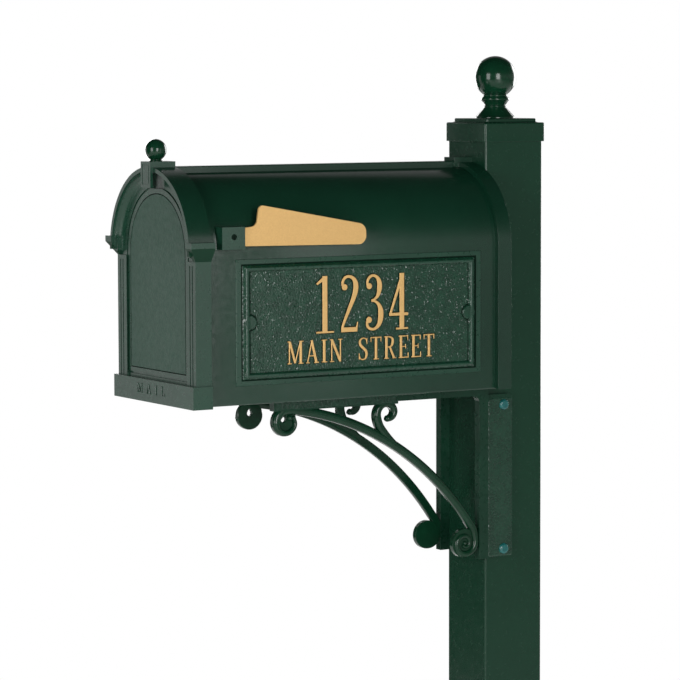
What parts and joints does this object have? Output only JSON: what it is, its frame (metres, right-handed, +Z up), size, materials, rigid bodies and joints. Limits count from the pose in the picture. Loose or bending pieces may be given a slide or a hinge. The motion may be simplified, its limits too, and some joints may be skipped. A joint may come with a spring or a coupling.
{
  "type": "post box",
  "caption": "Arched letter box with a bottom-hinged door, a side flag and address plaques, on a square post with scroll brackets and a ball finial.",
  "frame": {"origin": "on the post's axis at ground level", "axes": "+Z up along the post, the door faces -Y, the flag is on the +X side"},
  "size_m": [0.2628, 0.646, 2.0674],
  "materials": {
    "green_paint": "satin",
    "gold_paint": "satin",
    "teal_paint": "gloss",
    "steel": "satin",
    "rubber": "matte",
    "magnet": "matte",
    "nylon": "matte"
  },
  "bodies": {
    "stand": {"body_hinge_leaves": "steel", "body_hinge_screws": "steel", "body_screws": "steel", "body_shell": "green_paint", "body_spacers": "rubber", "brace_screws": "steel", "bracket_bolts": "teal_paint", "bracket_nuts": "steel", "cap_screws": "steel", "catch_bracket": "steel", "catch_magnet": "magnet", "catch_screws": "steel", "finial_nut": "steel", "finial_stud": "steel", "flag_mount": "green_paint", "flag_nut": "steel", "flag_screw": "green_paint", "flag_washer": "nylon", "floor_panel": "green_paint", "hinge_pins": "steel", "left_bracket": "green_paint", "left_plaque": "green_paint", "left_scroll": "green_paint", "mount_screws": "steel", "plaque_screws": "steel", "post_cap": "green_paint", "post_finial": "green_paint", "post_tube": "green_paint", "rail_screws": "steel", "rear_cover": "green_paint", "rear_screws": "steel", "ridge_rail": "green_paint", "right_bracket": "green_paint", "right_plaque": "green_paint", "right_scroll": "green_paint"},
    "door": {"door_casting": "green_paint", "door_pull": "green_paint", "pull_ball": "green_paint", "pull_screw": "steel", "strike_plate": "steel", "strike_screws": "steel", "door_hinge_leaves": "steel", "door_hinge_screws": "steel"},
    "flag": {"flag": "gold_paint"}
  },
  "joints": [
    {"name": "door_hinge", "type": "hinge", "parent": "stand", "child": "door", "pos_m": [0, -0.55, 1.0647], "axis": [1, 0, 0], "range_deg": [0, 95]},
    {"name": "flag_pivot", "type": "hinge", "parent": "stand", "child": "flag", "pos_m": [0.1232, -0.5188, 1.3066], "axis": [1, 0, 0], "range_deg": [0, 90]}
  ]
}
